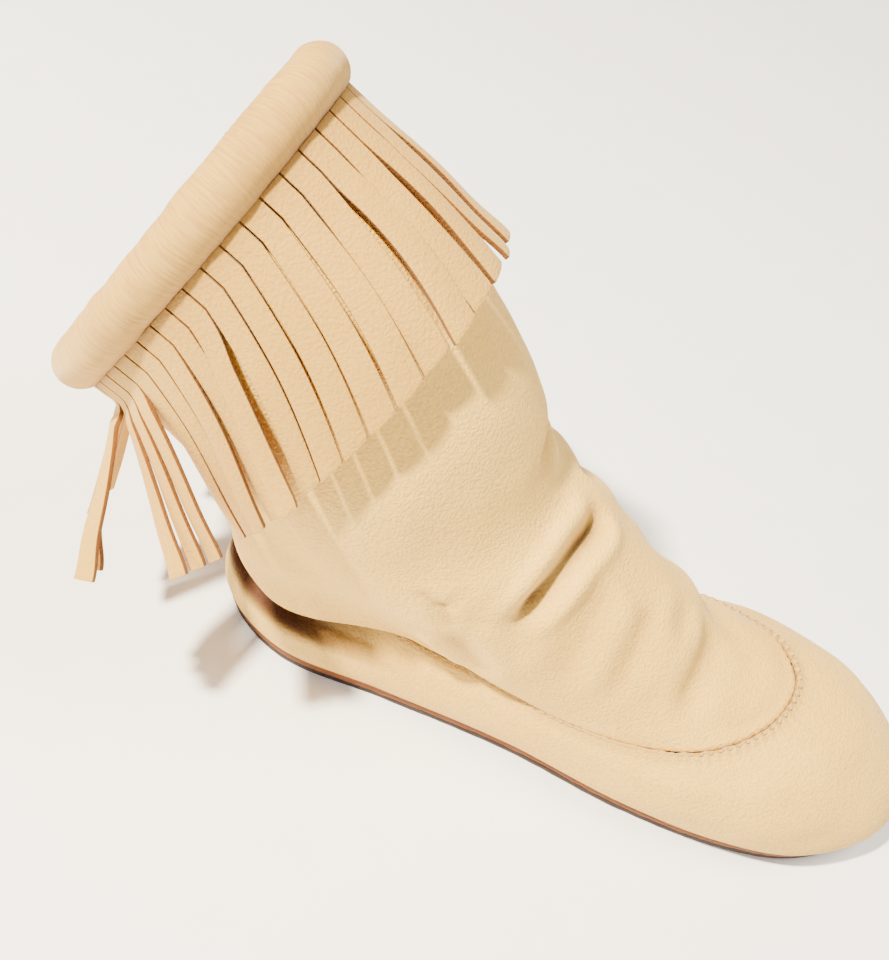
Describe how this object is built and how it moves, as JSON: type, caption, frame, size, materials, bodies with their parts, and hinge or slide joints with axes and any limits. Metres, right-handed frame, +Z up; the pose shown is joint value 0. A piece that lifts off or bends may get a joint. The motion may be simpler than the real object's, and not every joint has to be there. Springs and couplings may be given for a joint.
{
  "type": "moccasin ankle boot",
  "caption": "Soft leather moccasin ankle boot with a gathered toe seam, slouching shaft, padded rolled collar and cut fringe.",
  "frame": {"origin": "centre of the outsole's ground face", "axes": "+X from heel to toe, -Y the outer side, +Z up from the ground face"},
  "size_m": [0.3099, 0.1324, 0.208],
  "materials": {
    "cream_leather": "matt pebbled deerskin",
    "fringe_leather": "matt deerskin, cut edges",
    "roll_leather": "matt deerskin, finely wrinkled",
    "tan_sole_leather": "fibrous cut edge",
    "outsole_rubber": "matt",
    "insole_board": "raw fibre board",
    "sock_lining": "brushed",
    "roll_core": "soft foam",
    "sewing_thread": "waxed"
  },
  "bodies": {
    "foot": {"outsole": "outsole_rubber", "midsole": "tan_sole_leather", "insole_board": "insole_board", "sock_lining": "sock_lining", "lower_wrap": "cream_leather", "heel_counter": "insole_board", "vamp": "cream_leather", "moccasin_seam_thread": "sewing_thread"},
    "shaft": {"shaft": "cream_leather", "back_seam": "cream_leather", "collar_roll": "roll_leather", "collar_core": "roll_core", "fringe_band": "fringe_leather"},
    "fringe_01_comb": {"fringe_01": "fringe_leather"},
    "fringe_02_comb": {"fringe_02": "fringe_leather"},
    "fringe_03_comb": {"fringe_03": "fringe_leather"},
    "fringe_04_comb": {"fringe_04": "fringe_leather"},
    "fringe_05_comb": {"fringe_05": "fringe_leather"},
    "fringe_06_comb": {"fringe_06": "fringe_leather"},
    "fringe_07_comb": {"fringe_07": "fringe_leather"},
    "fringe_08_comb": {"fringe_08": "fringe_leather"},
    "fringe_09_comb": {"fringe_09": "fringe_leather"},
    "fringe_10_comb": {"fringe_10": "fringe_leather"},
    "fringe_11_comb": {"fringe_11": "fringe_leather"},
    "fringe_12_comb": {"fringe_12": "fringe_leather"},
    "fringe_13_comb": {"fringe_13": "fringe_leather"},
    "fringe_14_comb": {"fringe_14": "fringe_leather"},
    "fringe_15_comb": {"fringe_15": "fringe_leather"}
  },
  "joints": [
    {"name": "ankle_flex", "type": "hinge", "parent": "foot", "child": "shaft", "pos_m": [-0.09, 0, 0.066], "axis": [0, 1, 0], "range_deg": [-12, 20]},
    {"name": "swing_01", "type": "hinge", "parent": "shaft", "child": "fringe_01_comb", "pos_m": [-0.1158, 0, 0.19417], "axis": [-0.0614, -0.9976, 0.0313], "range_deg": [0, 80]},
    {"name": "swing_02", "type": "hinge", "parent": "shaft", "child": "fringe_02_comb", "pos_m": [-0.1196, -0.02053, 0.1895], "axis": [-0.2694, -0.8626, -0.4282], "range_deg": [0, 80]},
    {"name": "swing_03", "type": "hinge", "parent": "shaft", "child": "fringe_03_comb", "pos_m": [-0.12696, -0.03574, 0.17643], "axis": [-0.3878, -0.564, -0.729], "range_deg": [0, 80]},
    {"name": "swing_04", "type": "hinge", "parent": "shaft", "child": "fringe_04_comb", "pos_m": [-0.1358, -0.04409, 0.15905], "axis": [-0.428, -0.2422, -0.8707], "range_deg": [0, 80]},
    {"name": "swing_05", "type": "hinge", "parent": "shaft", "child": "fringe_05_comb", "pos_m": [-0.14481, -0.04584, 0.14012], "axis": [-0.4179, 0.068, -0.9059], "range_deg": [-4, 80]},
    {"name": "swing_06", "type": "hinge", "parent": "shaft", "child": "fringe_06_comb", "pos_m": [-0.1531, -0.04109, 0.12146], "axis": [-0.3637, 0.379, -0.8509], "range_deg": [-30, 62]},
    {"name": "swing_07", "type": "hinge", "parent": "shaft", "child": "fringe_07_comb", "pos_m": [-0.15967, -0.02939, 0.10521], "axis": [-0.2478, 0.7061, -0.6634], "range_deg": [-38, 38]},
    {"name": "swing_08", "type": "hinge", "parent": "shaft", "child": "fringe_08_comb", "pos_m": [-0.16296, -0.01086, 0.09487], "axis": [-0.0528, 0.9595, -0.2766], "range_deg": [-40, 24]},
    {"name": "swing_09", "type": "hinge", "parent": "shaft", "child": "fringe_09_comb", "pos_m": [-0.16163, 0.01092, 0.09427], "axis": [0.1694, 0.96, 0.2229], "range_deg": [-38, 24]},
    {"name": "swing_10", "type": "hinge", "parent": "shaft", "child": "fringe_10_comb", "pos_m": [-0.15612, 0.0296, 0.10356], "axis": [0.3289, 0.7123, 0.62], "range_deg": [-34, 38]},
    {"name": "swing_11", "type": "hinge", "parent": "shaft", "child": "fringe_11_comb", "pos_m": [-0.1482, 0.0414, 0.11909], "axis": [0.4092, 0.3818, 0.8287], "range_deg": [-22, 60]},
    {"name": "swing_12", "type": "hinge", "parent": "shaft", "child": "fringe_12_comb", "pos_m": [-0.13933, 0.04613, 0.1374], "axis": [0.429, 0.0651, 0.901], "range_deg": [-4, 80]},
    {"name": "swing_13", "type": "hinge", "parent": "shaft", "child": "fringe_13_comb", "pos_m": [-0.13049, 0.0443, 0.15637], "axis": [0.4008, -0.2462, 0.8825], "range_deg": [0, 80]},
    {"name": "swing_14", "type": "hinge", "parent": "shaft", "child": "fringe_14_comb", "pos_m": [-0.12261, 0.03586, 0.17421], "axis": [0.3201, -0.5663, 0.7595], "range_deg": [0, 80]},
    {"name": "swing_15", "type": "hinge", "parent": "shaft", "child": "fringe_15_comb", "pos_m": [-0.11707, 0.02056, 0.18821], "axis": [0.1637, -0.862, 0.4798], "range_deg": [0, 80]}
  ]
}
